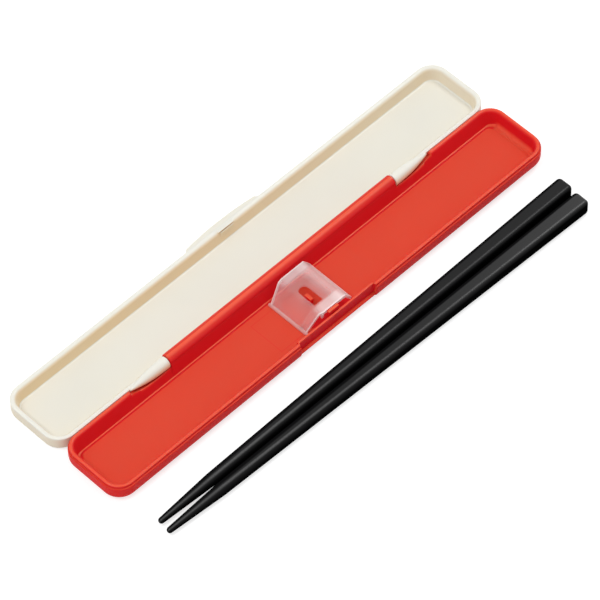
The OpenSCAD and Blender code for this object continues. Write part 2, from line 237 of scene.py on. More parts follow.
def moulded_plastic(name, floor, wall, edge, rough, specular, gloss_rough, glow=0.0, depth=0.0,
                    block_mark=None, painted_shadow_strip=None):
    """Satin moulded plastic: its colour varies with the flow, turns to the wall colour where painted shade is
    set and to the edge colour where painted highlights are set. The mould's polish gives its rounds and its
    show faces a clear gloss.

    Two marks on a floor, the outline of a loose block and a strip of painted shadow under the leaf's front
    rail, are given by their middle and half size, in metres."""
    flow_swing, block_line, scuff_dulling = 0.03, 0.3, 0.1
    finish = bpy.data.materials.new(name)
    finish.use_nodes = True
    tree = finish.node_tree
    shader = tree.nodes["Principled BSDF"]
    shader.inputs["Specular IOR Level"].default_value = specular
    shader.inputs["Coat Roughness"].default_value = gloss_rough
    shader.inputs["Subsurface Weight"].default_value = glow
    shader.inputs["Subsurface Radius"].default_value = np.array(floor) / max(floor)
    shader.inputs["Subsurface Scale"].default_value = depth * mm
    where = place(tree, "ShaderNodeTexCoord").outputs["Object"]
    skin = place(tree, "ShaderNodeGroup", {"node_tree": moulded_skin}, Place=where,
                 Flow_Size=38.0, Grain_Size=2600.0).outputs
    upright, thin, polish = [place(tree, "ShaderNodeAttribute", {"attribute_name": kept}).outputs["Fac"]
                             for kept in ("upright", "thin_edge", "polish")]
    deep, pale = [(*(np.array(floor) * share), 1) for share in (1 - flow_swing, 1 + flow_swing)]
    tone = mix_tones(tree, skin["Flow"], deep, pale)
    # Painted shade mixes in the wall colour, and painted highlights mix in the edge colour
    tone = mix_tones(tree, upright, tone, (*wall, 1))
    tone = mix_tones(tree, thin, tone, (*edge, 1))
    if block_mark:
        mark = place(tree, "ShaderNodeGroup", {"node_tree": floor_mark}, Place=where,
                     Middle=block_mark[0], Half=block_mark[1])
        faint = place(tree, "ShaderNodeMath", {"operation": "MULTIPLY"}, _0=mark.outputs["Line"],
                      _1=block_line)
        tone = mix_tones(tree, faint.outputs["Value"], tone, (*wall, 1))
    # Painted shadow: the floor strip under the leaf's front rail turns to the wall colour
    if painted_shadow_strip:
        strip = place(tree, "ShaderNodeGroup", {"node_tree": floor_mark}, Place=where,
                      Middle=painted_shadow_strip[0], Half=painted_shadow_strip[1])
        tone = mix_tones(tree, strip.outputs["Inside"], tone, (*wall, 1))
    dull = place(tree, "ShaderNodeMapRange", Value=skin["Scuff"], To_Min=rough, To_Max=rough + scuff_dulling)
    bump = place(tree, "ShaderNodeBump", Strength=0.06, Distance=0.1 * mm, Height=skin["Grain"])
    tree.links.new(tone, shader.inputs["Base Color"])
    tree.links.new(polish, shader.inputs["Coat Weight"])
    tree.links.new(dull.outputs["Result"], shader.inputs["Roughness"])
    tree.links.new(bump.outputs["Normal"], shader.inputs["Normal"])
    return finish


# The tray's floor carries a strip of painted shadow under the leaf's front rail, and the faint outline of a
# loose mould block
tray_red = moulded_plastic(
    "tray_red", floor=(0.745, 0.077, 0.042), wall=(0.75, 0.0145, 0.022), edge=(0.91, 0.13, 0.068),
    rough=0.4, specular=0.03, gloss_rough=0.2, glow=0.35, depth=2.5,
    block_mark=((-0.0058, -0.0003, 0), (0.0137, 0.0069, 1)),
    painted_shadow_strip=((0.0022, -0.0076, 0), (0.0087, 0.0022, 0)))

# Sections as (inset, height): up the outside, over the lip and down to the floor. A groove along the walls,
# or a low rib at the two ends, follows on the floor and is given by its distance from the wall's foot.
floor_groove = [(0.4, tray_floor), (0.5, groove_floor), (0.85, groove_floor), (0.95, 1.24), (2.5, tray_floor)]
end_rib = [(1.3, tray_floor), (1.5, 1.23), (2.0, 1.23), (2.2, tray_floor), (2.6, tray_floor)]
outside = [(under_inset, 0), (0, 0), (0, step_height), (step_inset, step_height)]
wall_section = outside + [(step_inset, lip_height), (lip_inset, lip_height), (foot_inset, tray_floor)]
end_section = outside + [(step_inset, lip_height), (2.0, lip_height), (2.4, tray_floor)]
barrel_section = outside + [(step_inset, 6.9), (2.2, 6.9), (foot_inset, tray_floor)]
recess_section = [(under_inset, 0), (1.4, 0), (0.2, recess_ledge), (1.4, recess_ledge), (1.4, lip_height),
                  (2.2, lip_height), (3.6, tray_floor)]
wall_radii = [lower_round, 0.25, 0.12, 0.3, 0.8, 0.3] + [groove_round] * 4
end_radii = [lower_round, 0.25, 0.12, 0.3, 1.2, 1.2] + [0.3] * 4
recess_radii = [lower_round, 0.25, 0.12, 0.2, 0.45, 0.3] + [groove_round] * 4


def with_floor(wall, floor, radii):
    """A wall's section with its stretch of floor, every corner rounded and every straight divided."""
    line = wall + [(wall[-1][0] + away, height) for away, height in floor]
    return divide_straights(round_corners(line, radii), len(radii))


plain = with_floor(wall_section, floor_groove, wall_radii)
recessed = with_floor(recess_section, floor_groove, recess_radii)
under_barrel = with_floor(barrel_section, floor_groove, wall_radii)
at_end = with_floor(end_section, end_rib, end_radii)

# Lines across the walls stand evenly, and closer at the ends of the recess and along the pockets
even_lines = np.linspace(-88, 88, 45)
recess_lines = recess_half + np.linspace(-0.2, 0.2, 5)
pocket_lines = np.concatenate([barrel_half + np.array([-0.1, -0.02, 0.0]),
                               np.linspace(barrel_half + 0.2, pocket_end, 26),
                               pocket_end + np.array([0.06, 0.12])])
tray_lines = np.concatenate([even_lines, recess_lines, -recess_lines, pocket_lines, -pocket_lines])
plan, out = case_outline(case_length, tray_width, np.unique(tray_lines.round(3)))
on_front, on_back, from_middle = out[:, 1] < -0.99, out[:, 1] > 0.99, np.abs(plan[:, 0])
toward_end = out[:, :1] ** 2
set_in = on_front * np.clip((recess_half - from_middle) / recess_slant + 0.5, 0, 1)
with_barrel = on_back & (from_middle < barrel_half - 0.01)
section = (plain + set_in[:, None, None] * (recessed - plain)
           + with_barrel[:, None, None] * (under_barrel - plain) + toward_end[..., None] * (at_end - plain))

# Inside, the back wall leans in a little more than the front one
inner = np.arange(len(plain)) > np.flatnonzero(plain[:, 1] > lip_height - 0.001)[-1]
below_lip = np.clip((lip_height - section[..., 1]) / (lip_height - tray_floor), 0, 1)
section[..., 0] += back_lean * np.maximum(out[:, 1:], 0) ** 2 * inner * below_lip
tray_inset, tray_height = section[..., 0].copy(), section[..., 1].copy()

# The pockets: the wall's top is cut down to a tapering round about the hinge line, and the inner wall's rows
# are pressed down to the brink, where its sloping line meets that round
along_arm = np.clip((from_middle - arm_start) / (arm_end - arm_start), 0, 1)
arm_radius = barrel_radius + (arm_tip_radius - barrel_radius) * along_arm ** arm_taper
in_pocket = on_back & ~with_barrel & (from_middle < pocket_end + 0.03)
pocket_radius = np.where(in_pocket, arm_radius + pocket_gap + pocket_gap_growth * along_arm, 0)
wall_lean = (foot_inset + back_lean - lip_inset) / (lip_height - tray_floor)
brink = np.full(len(plan), lip_height)
for _ in range(8):
    reach = lip_inset + (lip_height - brink) * wall_lean - (tray_width / 2 - hinge_y)
    drop = np.sqrt(np.maximum(pocket_radius ** 2 - reach ** 2, 0))
    brink = np.where(pocket_radius > reach, hinge_z - drop, lip_height)
above_foot = inner * np.clip((tray_height - foot_top) / (lip_height - foot_top), 0, 1)
pressed = above_foot * (lip_height - brink)[:, None]
tray_inset += pressed * wall_lean
tray_height -= pressed
across = tray_width / 2 - tray_inset - hinge_y
depth = np.sqrt(np.maximum(pocket_radius[:, None] ** 2 - across ** 2, 0))
tray_height = np.where(depth > 0, np.minimum(tray_height, hinge_z - depth), tray_height)

points, faces = pan(plan, out, tray_inset, tray_height)
tray = make_piece("tray_pan", points, faces, "tray", "tray_body", tray_red)

# Painted shade darkens the walls and the groove. Painted highlights pale the lip, the walls' foot and the
# brink of the pockets.
steep = steepness(section)
along_sides = np.where(out[:, 1:] > 0, np.clip(2.5 * out[:, 1:], 0, 1), out[:, 1:] ** 2)
wall_shade = steep * np.where(inner, 1, 0.8 + 0.2 * set_in[:, None])
in_groove = inner & (plain[:, 1] < tray_floor - 0.05)
paint(tray, "upright", np.maximum(wall_shade, 0.9 * in_groove * along_sides))
lip_polish = 0.25 * small_rounds(section, np.argmax(plain[:, 1] > lip_height - 0.4))
paint(tray, "polish", lip_polish * (1 - inner * toward_end))
on_lip = 0.6 * np.clip((tray_height - 6.7) / 0.3, 0, 1) * (tray_inset < 2.8)
on_round = (steep > 0.1) * (steep < 0.93)
side_foot = inner * (plain[:, 0] < 3) * (tray_height < foot_top) * on_round * along_sides
end_foot = inner * np.interp(tray_height, [1.4, 3.0], [1, 0]) * np.interp(tray_inset, [3.6, 4.6], [1, 0])
end_foot = 0.9 * end_foot * (1 - along_sides)
rows_past_lip = np.arange(len(plain)) - np.argmax(inner)
brink_rows = np.interp(rows_past_lip, [-16, -12, 0, 2, 5, 7], [0, 0.4, 0.4, 1, 1, 0])
brink_highlight = (in_pocket * np.interp(along_arm, [0, 0.4, 0.9], [0.2, 0.5, 1]))[:, None] * brink_rows
paint(tray, "thin_edge", np.maximum.reduce([on_lip, side_foot, end_foot, brink_highlight]))


# Hinge barrel: a round bar along the middle of the tray's back wall, moulded in one with it. Blind bores in
# its two ends take the lid's stub pins, and a faint parting line runs along its top.
bore_depth, bore_radius, barrel_edge, barrel_gloss = 4.5, 1.05, 0.25, 0.14
parting_at, parting_half, parting_depth = np.radians(78), 0.05, 0.07


def loft(rings):
    """Solid through a row of like closed rings, with a flat face over the first ring and over the last."""
    count, around = rings.shape[:2]
    here = np.arange(count - 1)[:, None] * around + np.arange(around)
    beside = np.roll(here, -1, 1)
    sides = np.stack([here, beside, beside + around, here + around], 2).reshape(-1, 4)
    last = np.arange(around) + (count - 1) * around
    return rings.reshape(-1, 3), sides.tolist() + [np.arange(around)[::-1].tolist(), last.tolist()]


def turned(x, radius, y, z, swing):
    """Rings of a round piece about a line along X: a circle of its radius stands at each x."""
    x, radius = np.asarray(x, float)[:, None], np.asarray(radius, float)[:, None]
    return np.stack([x + 0 * swing, y + radius * np.cos(swing), z + radius * np.sin(swing)], 2)


rim_swing = np.linspace(0, np.pi / 2, 6)
rim_x = barrel_half - barrel_edge + barrel_edge * np.sin(rim_swing)
rim_radius = barrel_radius - barrel_edge + barrel_edge * np.cos(rim_swing)
right_x = np.concatenate([[0, 20, 40], rim_x, [barrel_half, barrel_half - bore_depth]])
right_radius = np.concatenate([[barrel_radius] * 3, rim_radius, [bore_radius, bore_radius]])
barrel_swing = np.sort(np.concatenate([np.linspace(0, 2 * np.pi, 72, endpoint=False) + 0.01,
                                       parting_at + np.array([-parting_half, 0, parting_half])]))
barrel = turned(np.concatenate([-right_x[:0:-1], right_x]),
                np.concatenate([right_radius[:0:-1], right_radius]), hinge_y, hinge_z, barrel_swing)
barrel[..., 2] -= parting_depth * (np.abs(barrel_swing - parting_at) < 0.02)
points, faces = loft(barrel)
piece = make_piece("hinge_barrel", points, faces, "tray", "tray_body", tray_red)
# Painted shade darkens the barrel's front and underside and, more lightly, the back of its top; a painted
# highlight band runs just in front of the parting line
up = np.clip((points[:, 2] - hinge_z) / barrel_radius, 0, 1)
round_at = np.degrees(np.arctan2(points[:, 2] - hinge_z, points[:, 1] - hinge_y)) % 360
paint(piece, "upright", np.where(round_at > 90, np.sqrt(1 - up ** 2), 0.4 * (round_at < 80)))
paint(piece, "thin_edge", np.interp(round_at, [60, 79, 82, 95, 125], [0, 0, 0.9, 0.8, 0]))
paint(piece, "polish", np.full(len(points), barrel_gloss))


# Latch prong and stop rib: two small upright walls moulded on the tray. The prong stands on the inside of
# the finger recess and holds the lid's catch; the rib stands under the leaf spring's slot and stops it.
prong_low, prong_high = (-2.2, -10.85, 1.0), (2.2, -9.75, 8.4)
rib_low, rib_high = (-0.65, -1.0, 1.0), (0.65, 2.0, 4.0)
block_edge = 0.2


def standing_block(low, high, edge, steps=4, apart=1.001):
    """Rings of a block with rounded upright edges and a rounded top, standing on its lowest face.

    Each ring is a rectangle with arcs at its corners; the top rings shrink by the edge's own round.
    Arcs a hair larger than that keep the points of the last ring apart."""
    low, high = np.array(low, float), np.array(high, float)
    swing = np.linspace(0, np.pi / 2, steps + 1)
    turn = (np.arange(4)[:, None] * np.pi / 2 + swing).ravel()
    side = np.repeat([[1, 1], [-1, 1], [-1, -1], [1, -1]], steps + 1, 0)
    middle, reach = (low + high)[:2] / 2, (high - low)[:2] / 2
    shrink = np.concatenate([[0], edge * (1 - np.cos(swing))])[:, None, None]
    level = np.concatenate([[low[2]], high[2] - edge + edge * np.sin(swing)])
    arc = np.stack([np.cos(turn), np.sin(turn)], 1) * (edge * apart - shrink)
    flat = middle + side * (reach - edge) + arc
    return np.concatenate([flat, np.broadcast_to(level[:, None, None], flat.shape[:2] + (1,))], 2)


for name, low, high in (("latch_prong", prong_low, prong_high), ("stop_rib", rib_low, rib_high)):
    points, faces = loft(standing_block(low, high, block_edge))
    piece = make_piece(name, points, faces, "tray", "tray_body", tray_red)
    # Painted highlight on the rounded top, painted shade down the sides
    at_top = np.clip((points[:, 2] - high[2] + block_edge) / 0.15, 0, 1)
    paint(piece, "thin_edge", at_top)
    paint(piece, "upright", 1 - at_top)


# Lid: a cream pan of the same plan, lying open behind the tray. Its near wall is hollowed to pass round the
# barrel, and its rim is bevelled on the inside to drop over the tray's lip.
lid_near, lid_far, lid_rim, lid_floor = 13.45, 39.45, 6.0, 1.2
notch_half, notch_radius = 50.05, 2.45
lid_radii = [2.2, 0.3, 1.4, 0.6]
lid_cream = moulded_plastic(
    "lid_cream", floor=(0.818, 0.80, 0.718), wall=(0.87, 0.69, 0.44), edge=(0.865, 0.85, 0.775),
    rough=0.4, specular=0.15, gloss_rough=0.2, glow=0.4, depth=0.4)

lid_section = [(under_inset, 0), (0, 0), (0, lid_rim), (1.75, lid_rim), (2.8, lid_floor), (3.9, lid_floor)]
lid_wall = divide_straights(round_corners(lid_section, lid_radii), len(lid_radii))
notch_lines = notch_half + np.array([-0.03, 0.03])
lid_lines = np.concatenate([even_lines, notch_lines, -notch_lines])
lid_plan, lid_out = case_outline(case_length, lid_far - lid_near, np.unique(lid_lines.round(3)))
lid_walls = np.broadcast_to(lid_wall, (len(lid_plan), *lid_wall.shape))
lid_inset, lid_height = lid_walls[..., 0], lid_walls[..., 1]
by_barrel = (lid_out[:, 1] < -0.99) & (np.abs(lid_plan[:, 0]) < notch_half)
lid_across = np.where(by_barrel[:, None], lid_near + lid_inset - hinge_y, notch_radius)
notch_depth = np.sqrt(np.maximum(notch_radius ** 2 - lid_across ** 2, 0))
lid_height = np.where(notch_depth > 0, np.minimum(lid_height, hinge_z - notch_depth), lid_height)
points, faces = pan(lid_plan, lid_out, lid_inset, lid_height)
points[:, 1] += (lid_near + lid_far) / 2
lid = make_piece("lid_pan", points, faces, "lid", "lid_body", lid_cream)

# Inside, the walls carry a warm painted shade, less toward the right and at the two ends; outside the painted
# shade is light, so they stay nearly as pale as the floor
lid_steep = steepness(lid_walls)
lid_inner = np.arange(len(lid_wall)) > np.argmax(lid_wall[:, 1])
to_right = np.interp(lid_plan[:, :1], [-20, 92], [1, 0.65])
inside_shade = to_right * (1 - 0.3 * lid_out[:, :1] ** 2)
paint(lid, "upright", lid_steep * np.where(lid_inner, inside_shade, 0.4))
paint(lid, "polish", 0.3 * small_rounds(lid_walls, plain_rows=12))
# Painted highlights along the rim's top and along the inner foot of the walls
lid_foot = (lid_inset > 2) * (lid_height < 1.7) * (lid_steep > 0.1) * (lid_steep < 0.93)
paint(lid, "thin_edge", np.maximum(np.clip((lid_height - 5.5) / 0.4, 0, 1), lid_foot))


# Thumb tab and catch: a bowed ledge moulded outside the lid's far rim to lift it by. Inside the same wall the
# rim widens, and a short springy bar stands a hair in front of it, to snap past the tray's prong.
tab_half, tab_slant, tab_flat, tab_middle, tab_ends = 16.0, 1.1, 14.6, 2.0, 1.1
tab_low, tab_high, tab_edge, tab_root = 4.15, 5.85, 0.55, 0.4
rim_low, rim_high = (-3.4, 37.65, 4.4), (3.4, 38.7, 5.99)
bar_low, bar_high = (-2.9, 37.08, 3.9), (2.9, 37.25, 5.85)
catch_edge = 0.08

tab_x = np.concatenate([np.linspace(-tab_half, -tab_half + tab_slant, 6),
                        np.linspace(-tab_flat, tab_flat, 41),
                        np.linspace(tab_half - tab_slant, tab_half, 6)])
bow = tab_ends + (tab_middle - tab_ends) * (1 - (tab_x / (tab_half - tab_slant)) ** 2)
stand_out = np.minimum(bow, (tab_half - np.abs(tab_x)) * tab_ends / tab_slant) + 0.02
nose_swing = np.linspace(-np.pi / 2, np.pi / 2, 11)
nose = np.minimum(tab_edge, stand_out)[:, None]
root = np.full((len(tab_x), 1), -tab_root)
tab_y = np.hstack([root, stand_out[:, None] - nose + nose * np.cos(nose_swing), root]) + lid_far
tab_z = np.concatenate([[tab_low], np.interp(np.sin(nose_swing), [-1, 1], [tab_low, tab_high]), [tab_high]])
points, faces = loft(np.stack([tab_x[:, None] + 0 * tab_y, tab_y, tab_z + 0 * tab_y], 2))
piece = make_piece("thumb_tab", points, faces, "lid", "lid_body", lid_cream)
# A painted highlight pales the whole tab, with a little painted shade
paint(piece, "thin_edge", np.full(len(points), 0.5))
paint(piece, "upright", np.full(len(points), 0.15))

for name, low, high, wall_shade in (("catch_rim", rim_low, rim_high, 1.0),
                                   ("catch_bar", bar_low, bar_high, 0.85)):
    points, faces = loft(standing_block(low, high, catch_edge))
    piece = make_piece(name, points, faces, "lid", "lid_body", lid_cream)
    # Painted highlight on the rounded tops, painted shade on the faces below
    at_top = np.clip((points[:, 2] - high[2] + catch_edge) / 0.06, 0, 1)
    paint(piece, "thin_edge", 0.75 * at_top)
    paint(piece, "upright", wall_shade * (1 - at_top))


# Hinge arms: two tapering horns moulded on the lid's near rim, pointing away from the barrel, with a stub pin
# on each that turns in the barrel's bore. The horns lie a little low of the pins.
pin_radius, pin_end, pin_edge = 1.0, 46.0, 0.15
arm_edge, arm_low, tip_length, tip_end_radius = 0.3, 0.18, 0.2, 0.08

arm_swing = np.linspace(0, np.pi / 2, 5)
horn_x = np.linspace(arm_start + arm_edge, arm_end, 24)
along_horn = (horn_x - arm_start) / (arm_end - arm_start)
horn_radius = barrel_radius + (arm_tip_radius - barrel_radius) * along_horn ** arm_taper
arm_x = np.concatenate([[pin_end, pin_end + pin_edge, arm_start],
                        arm_start + arm_edge * (1 - np.cos(arm_swing)), horn_x[1:], [arm_end + tip_length]])
ring_radius = np.concatenate([[pin_radius - pin_edge, pin_radius, pin_radius],
                              horn_radius[0] - arm_edge + arm_edge * np.sin(arm_swing), horn_radius[1:],
                              [tip_end_radius]])
around_arm = np.linspace(0, 2 * np.pi, 48, endpoint=False)
for name, x, radius in (("hinge_arm_right", arm_x, ring_radius),
                        ("hinge_arm_left", -arm_x[::-1], ring_radius[::-1])):
    set_low = arm_low * (np.abs(x) > arm_start - 0.01)[:, None]
    rings = turned(x, radius, hinge_y - set_low, hinge_z - set_low, around_arm)
    points, faces = loft(rings)
    piece = make_piece(name, points, faces, "lid", "lid_body", lid_cream)
    # Painted highlight along the top of each horn, and warm painted shade on its sides and underside
    from_axis = rings - rings.mean(1, keepdims=True)
    up = (from_axis[..., 2] / np.linalg.norm(from_axis, axis=2)).ravel()
    paint(piece, "thin_edge", np.clip((up - 0.6) / 0.3, 0, 1))
    paint(piece, "upright", np.interp(up, [-0.9, -0.5, 0.15, 0.85], [0.15, 0.85, 0.85, 0]))


# Leaf spring: a bridge of thin translucent plastic that climbs from a bead in the tray's floor to a flat top
# and falls to a free end. It presses the stored chopsticks against the closed lid. Its two rails slope.
foot, crest = np.array([-9.5, 1.45]), 9.0
web_thick, rail_thick, rail_width, rail_drop = 0.8, 1.1, 3.2, 0.8
bend, bend_radius = np.array([-2.6, 5.4]), 3.2
curl, curl_radius, free_end = np.array([4.7, 6.9]), 1.7, 8.8
foot_half, ramp_half, top_half, flare = 8.75, 7.9, 9.45, 6.4
slot_x, slot_half, slot_front, slot_back = -1.7, 1.85, -5.9, 2.5
bead_radius, bead_edge, in_bead = 0.6, 0.3, 0.3
lug_low, lug_high, lug_edge = (-4.0, -9.45, 5.7), (-3.1, -8.65, 7.5), 0.15
web_milk, rail_milk, fold_milk, bead_milk, edge_milk = 0.085, 0.05, 0.18, 0.32, 0.7


def milky_plastic(name):
    """Thin natural plastic: milky white, and see-through by how little milk a light ray meets there.

    For shadow rays the milk counts half as much again, which deepens the leaf's shade."""
    cloudiness, deeper_shadow = 0.06, 0.5
    finish = bpy.data.materials.new(name)
    finish.use_nodes = True
    tree = finish.node_tree
    shader = tree.nodes["Principled BSDF"]
    where = place(tree, "ShaderNodeTexCoord").outputs["Object"]
    skin = place(tree, "ShaderNodeGroup", {"node_tree": moulded_skin}, Place=where,
                 Flow_Size=160.0, Grain_Size=3200.0).outputs
    tone = mix_tones(tree, skin["Flow"], (0.97, 0.885, 0.875, 1), (1.0, 0.93, 0.92, 1))
    milk = place(tree, "ShaderNodeAttribute", {"attribute_name": "milk"}).outputs["Fac"]
    cloud = place(tree, "ShaderNodeMath", {"operation": "MULTIPLY_ADD"}, _0=skin["Flow"], _1=cloudiness,
                  _2=milk)
    ray = place(tree, "ShaderNodeLightPath").outputs
    shade = place(tree, "ShaderNodeMath", {"operation": "MULTIPLY_ADD"}, _0=ray["Is Shadow Ray"],
                  _1=deeper_shadow, _2=1.0)
    veil = place(tree, "ShaderNodeMath", {"operation": "MULTIPLY", "use_clamp": True},
                 _0=cloud.outputs["Value"], _1=shade.outputs["Value"])
    dull = place(tree, "ShaderNodeMapRange", Value=skin["Scuff"], To_Min=0.28, To_Max=0.4)
    bump = place(tree, "ShaderNodeBump", Strength=0.05, Distance=0.1 * mm, Height=skin["Grain"])
    tree.links.new(tone, shader.inputs["Base Color"])
    tree.links.new(veil.outputs["Value"], shader.inputs["Alpha"])
    tree.links.new(dull.outputs["Result"], shader.inputs["Roughness"])
    tree.links.new(bump.outputs["Normal"], shader.inputs["Normal"])
    return finish


spring_clear = milky_plastic("spring_clear")

# Lines across the leaf stand at these x, and lines along it at these y, which flare out from the foot
to_bend = bend - foot
slope = np.arctan2(to_bend[1], to_bend[0]) + np.arcsin(bend_radius / np.hypot(*to_bend))
ramp_end, fall_start = bend[0] - bend_radius * np.sin(slope), curl[0] + curl_radius * np.sin(slope)
slot_lines = slot_x + slot_half * np.cos(np.linspace(np.pi, 0, 15))
line_x = np.concatenate([np.linspace(foot[0] + in_bead, ramp_end, 9),
                         np.linspace(ramp_end, slot_lines[0], 7)[1:-1],
                         slot_lines,
                         np.linspace(slot_lines[-1], curl[0], 9)[1:],
                         np.linspace(curl[0], fall_start, 8)[1:],
                         np.linspace(fall_start, free_end - 0.12, 6)[1:],
                         [free_end]])
leaf_half = np.interp(line_x, [foot[0], foot[0] + flare], [ramp_half, top_half])[:, None]
from_edge = np.array([0, 0.15, 0.6, 1.4, 2.2, 2.8, 3.3])
before_slot_back = [slot_front, -4.6, -3.2, -1.8, -0.6]
between = np.array(before_slot_back + [slot_back - slot_half, 3.2, 4.2, 5.4])
line_y = np.hstack([from_edge - leaf_half, np.tile(between, (len(line_x), 1)), leaf_half - from_edge[::-1]])
front_end, back_end = len(from_edge), len(from_edge) + len(before_slot_back)
line_y[:, back_end] += np.sqrt(np.maximum(slot_half ** 2 - (line_x - slot_x) ** 2, 0))


def lesser(a, b, soft=0.02):
    """The lesser of two heights, with the corner between them rounded over."""
    return (a + b - np.sqrt((a - b) ** 2 + soft)) / 2


def rounded(x, middle, radius):
    """Height of a circle's upper side over x."""
    return middle[1] + np.sqrt(np.maximum(radius ** 2 - (x - middle[0]) ** 2, 0))


# The upper side is the lesser of a profile over x and a section over y; the lower side lies below it
tilt = np.where(line_x < 0, np.arcsin(np.clip((bend[0] - line_x) / bend_radius, 0, np.sin(slope))),
                -np.arcsin(np.clip((line_x - curl[0]) / curl_radius, 0, np.sin(slope))))
profile = np.select([line_x < ramp_end, line_x < bend[0], line_x < curl[0], line_x < fall_start],
                    [foot[1] + (line_x - foot[0]) * np.tan(slope), rounded(line_x, bend, bend_radius),
                     bend[1] + bend_radius, rounded(line_x, curl, curl_radius)],
                    rounded(fall_start, curl, curl_radius) - (line_x - fall_start) * np.tan(slope))
out_rail = (np.abs(line_y) - top_half + rail_width) / rail_width
on_rail = np.clip(out_rail * 4 + 0.5, 0, 1)
roof = crest - rail_drop * (out_rail + np.sqrt(out_rail ** 2 + 0.01)) / 2
thick = web_thick + (rail_thick - web_thick) * on_rail
normal_x, normal_z = -np.sin(tilt) * web_thick / 2, np.cos(tilt) * web_thick / 2
upper_z = lesser((profile + normal_z)[:, None], roof)
lower_z = lesser((profile - normal_z)[:, None], roof - thick)
upper = np.stack([(line_x + normal_x)[:, None] + 0 * line_y, line_y, upper_z], 2)
lower = np.stack([(line_x - normal_x)[:, None] + 0 * line_y, line_y, lower_z], 2)
points = np.vstack([upper.reshape(-1, 3), lower.reshape(-1, 3)])

# Cells of the leaf's net are kept but for the slot, and walls close the edges between upper and lower side
rows, columns = line_y.shape
upper_count = rows * columns
kept = np.ones((rows - 1, columns - 1), bool)
kept[np.abs((line_x[:-1] + line_x[1:]) / 2 - slot_x) < slot_half, front_end:back_end] = False
index = np.arange(upper_count).reshape(rows, columns)
cell = np.stack([index[:-1, :-1], index[1:, :-1], index[1:, 1:], index[:-1, 1:]], 2)
fence = np.pad(kept, 1)
across_edge = fence[1:, 1:-1].astype(int) - fence[:-1, 1:-1]
along_edge = fence[1:-1, 1:].astype(int) - fence[1:-1, :-1]


def edge_walls(edge_start, edge_end, step, below):
    """Upright faces between the upper and the lower side wherever a kept cell meets an empty one."""
    start, end = edge_start[step != 0], edge_end[step != 0]
    face = np.stack([start, end, end + below, start + below], 1)
    return np.where((step[step != 0] > 0)[:, None], face[:, ::-1], face)


faces = np.vstack([cell[kept], cell[kept][:, ::-1] + upper_count,
                   edge_walls(index[:, 1:], index[:, :-1], across_edge, upper_count),
                   edge_walls(index[:-1, :], index[1:, :], along_edge, upper_count)]).tolist()
leaf = make_piece("leaf_blade", points, faces, "leaf_spring", "spring_body", spring_clear)
flatness = (1 - np.abs(tilt) / slope)[:, None]
fold = np.interp(line_x, [1.5, 5.0, free_end], [0, 1, 1])[:, None]
flat_rail_milk = np.where(line_y < 0, 0.2, 0.16) * flatness
leaf_milk = web_milk + on_rail * (rail_milk + flat_rail_milk) + fold_milk * fold
leaf_milk[:, [0, 1, -2, -1]], leaf_milk[-2:] = edge_milk, edge_milk
paint(leaf, "milk", np.tile(leaf_milk.ravel(), 2))

around_bead = np.linspace(0, 2 * np.pi, 24, endpoint=False)
bead_swing = np.linspace(0, np.pi / 2, 5)
bead_y = np.concatenate([bead_edge * (1 - np.sin(bead_swing[::-1])) - foot_half,
                         foot_half - bead_edge * (1 - np.sin(bead_swing))])
bead_ring = bead_radius - bead_edge + bead_edge * np.concatenate([np.cos(bead_swing[::-1]),
                                                                  np.cos(bead_swing)])
bead = np.stack([foot[0] + bead_ring[:, None] * np.sin(around_bead), bead_y[:, None] + 0 * around_bead,
                 foot[1] + bead_ring[:, None] * np.cos(around_bead)], 2)
lug = standing_block(lug_low, lug_high, lug_edge)
for name, rings, milk in (("leaf_foot", bead, bead_milk), ("leaf_lug", lug, edge_milk)):
    points, faces = loft(rings)
    piece = make_piece(name, points, faces, "leaf_spring", "spring_body", spring_clear)
    paint(piece, "milk", np.full(len(points), milk))


# Chopsticks: a pair of black moulded sticks, square with soft edges at the butt and round at the tip, lying
# on the table in front of the case.
stick_length, butt_half, butt_corner, butt_round = 179.6, 3.1, 1.5, 1.6
neck_at, neck_radius, nose_radius, tip_height = 22.0, 2.15, 1.05, 2.02
tips, turns, butt_glosses = [(-90.8, -26.55), (-91.4, -30.88)], [0.0, -1.124], [1.0, 2.2]
stick_black = moulded_plastic(
    "stick_black", floor=(0.006, 0.006, 0.0063), wall=(0.002, 0.002, 0.002), edge=(0.02, 0.02, 0.021),
    rough=0.42, specular=0.0, gloss_rough=0.4)


def chopstick_rings(steps=8, apart=0.999):
    """Rings of a chopstick along +X from its tip: a rounded square whose corner arcs grow to a full round.

    Half width and corner radius run in straight lines from the nose to the neck and on to the butt, whose
    end shrinks through a quarter round. The lower side lies on the table from the neck on. Arcs set a hair
    outwards keep the points of a full round apart. The direction of each point is given in degrees too."""
    nose = np.linspace(0, np.pi / 2, 9)[1:]
    butt = np.linspace(0, np.pi / 2, 7)
    shaft = np.concatenate([np.linspace(2, neck_at, 9), np.linspace(neck_at + 6, stick_length - 3, 40)])
    x = np.concatenate([nose_radius * (1 - np.cos(nose)), shaft,
                        stick_length - butt_round + butt_round * np.sin(butt)])
    stations = [nose_radius, neck_at, stick_length]
    half = np.interp(x, stations, [nose_radius, neck_radius, butt_half])
    corner = np.interp(x, stations, [nose_radius, neck_radius, butt_corner])
    rise = np.interp(x, [0, neck_at, stick_length], [tip_height, neck_radius, butt_half])
    shrink = np.concatenate([nose_radius * (1 - np.sin(nose)), np.zeros(len(shaft)),
                             butt_round * (1 - np.cos(butt))])
    half, corner = half - shrink, np.maximum(corner - shrink, 0.05)
    swing = (np.arange(4)[:, None] * np.pi / 2 + np.linspace(0, np.pi / 2, steps + 1)).ravel()
    side = np.repeat([[1, 1], [-1, 1], [-1, -1], [1, -1]], steps + 1, 0)
    arc = corner[:, None, None] * np.stack([np.cos(swing), np.sin(swing)], 1)
    flat = (half - corner * apart)[:, None, None] * side + arc
    rings = np.concatenate([np.broadcast_to(x[:, None, None], flat.shape[:2] + (1,)),
                            flat + np.stack([0 * rise, rise], 1)[:, None]], 2)
    return rings, np.broadcast_to(np.degrees(swing), flat.shape[:2])


